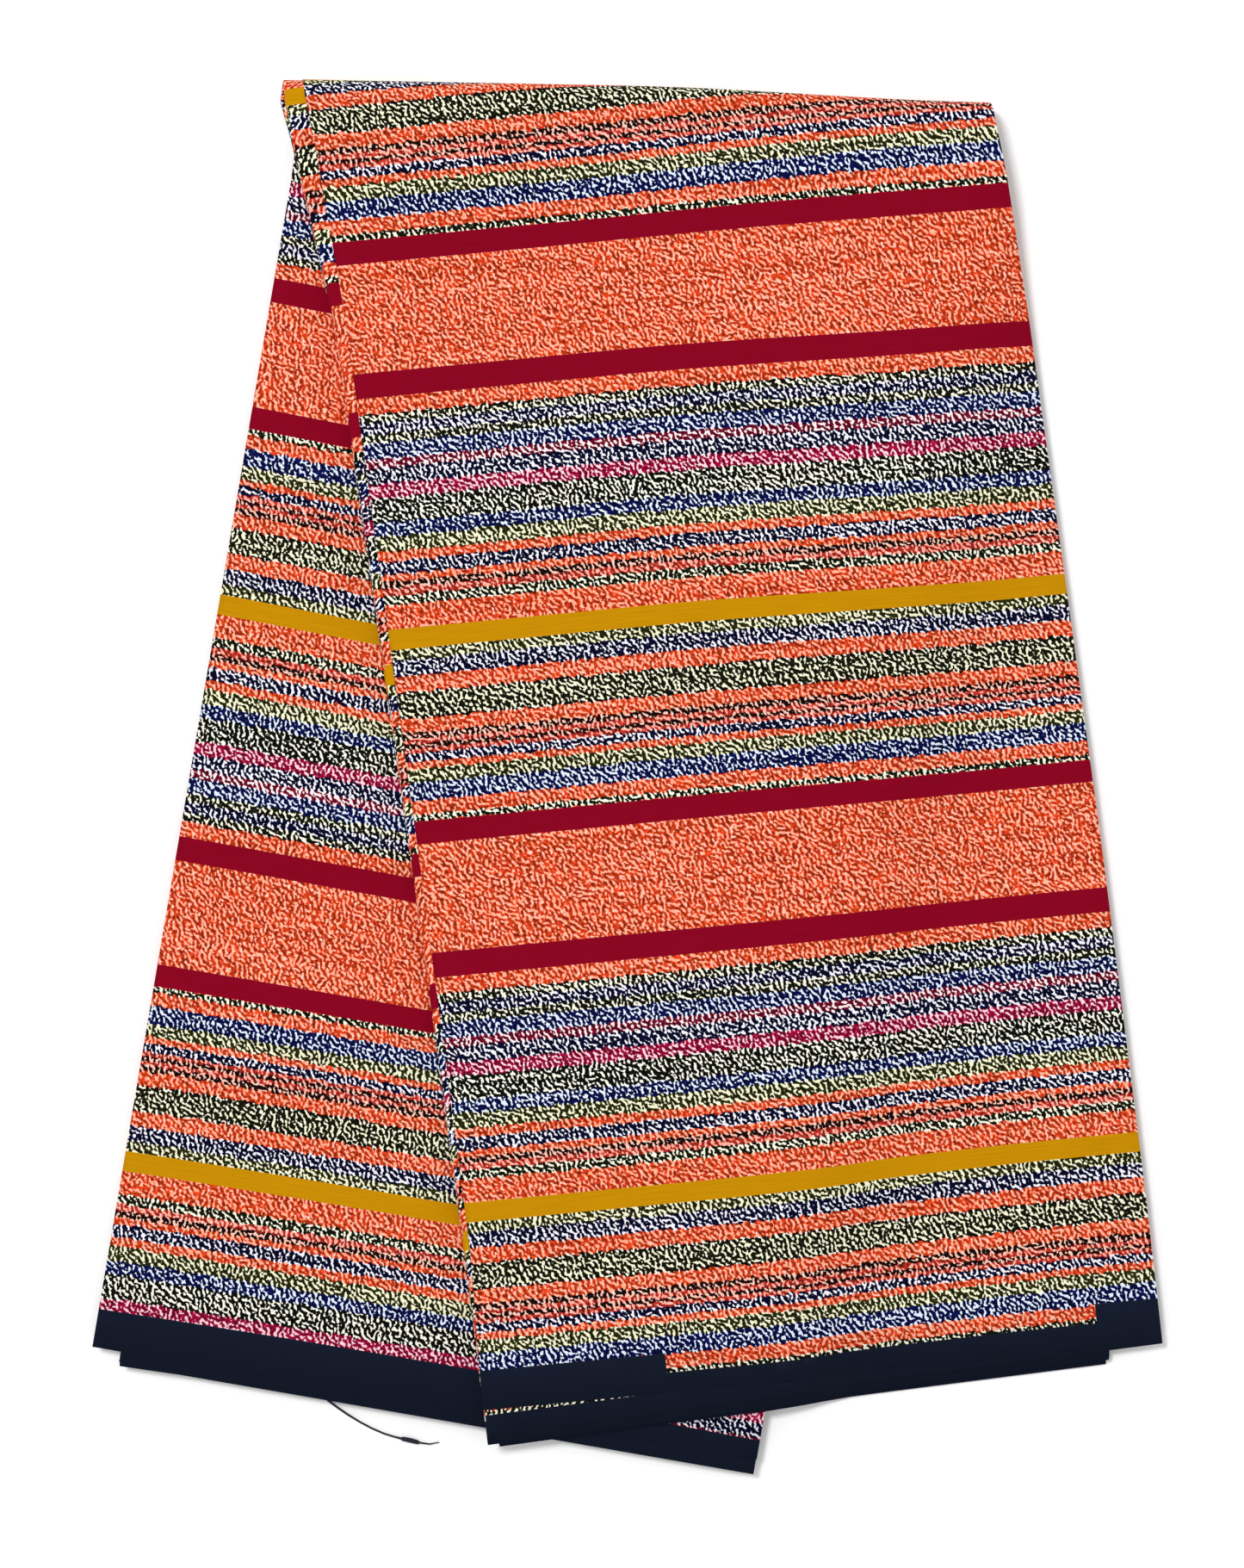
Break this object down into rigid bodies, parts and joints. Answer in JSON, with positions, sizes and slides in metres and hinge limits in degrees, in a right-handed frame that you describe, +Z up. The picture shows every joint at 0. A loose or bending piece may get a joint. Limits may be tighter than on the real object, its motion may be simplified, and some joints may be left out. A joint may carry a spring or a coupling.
{
  "type": "ankara fabric",
  "caption": "A full piece of striped ankara cotton, folded back and forth into panels and then folded over at its middle, lying flat with its two halves fanned apart.",
  "frame": {"origin": "middle of the cloth's box, on the surface that it lies on", "axes": "+Z up from the surface, +Y towards the bend at the middle of the bundle, +X to the right when the upper half is seen from above"},
  "size_m": [0.477, 0.623, 0.0177],
  "materials": {
    "printed_cotton": "plain-weave cotton, printed with stripes and lightly glazed",
    "selvedge_thread": "dyed cotton thread"
  },
  "bodies": {
    "root": {"cloth": "printed_cotton", "loose_thread": "selvedge_thread"}
  },
  "joints": []
}
